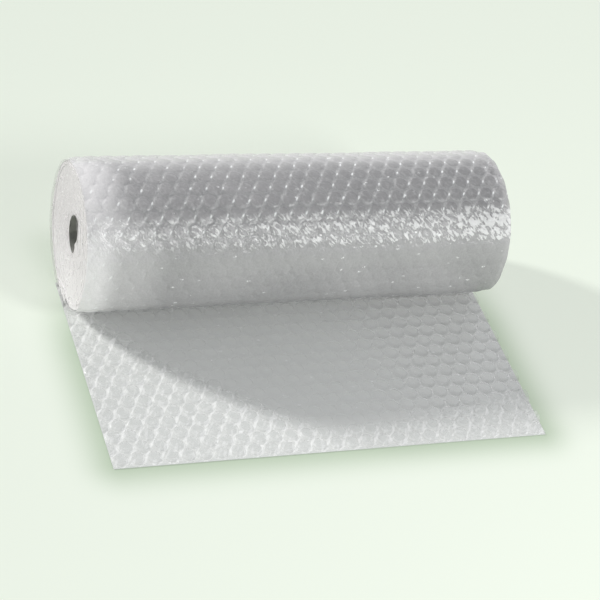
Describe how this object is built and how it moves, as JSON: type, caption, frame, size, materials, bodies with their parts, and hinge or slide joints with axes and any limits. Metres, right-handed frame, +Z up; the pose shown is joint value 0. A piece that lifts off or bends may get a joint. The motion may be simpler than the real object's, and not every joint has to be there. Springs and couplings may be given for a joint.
{
  "type": "bubble wrap roll",
  "caption": "Coreless roll of small-bubble cushioning film at rest on its side, with its free end laid out flat in front of it.",
  "frame": {"origin": "on the floor, under the roll's axis, half-way along the roll", "axes": "+X along the roll, -Y the way the free end lies, +Z up"},
  "size_m": [0.3, 0.2132, 0.0998],
  "materials": {
    "clear_film": "clear glossy film, cloudy where layers lie on each other"
  },
  "bodies": {
    "root": {"bubble_film": "clear_film"}
  },
  "joints": []
}
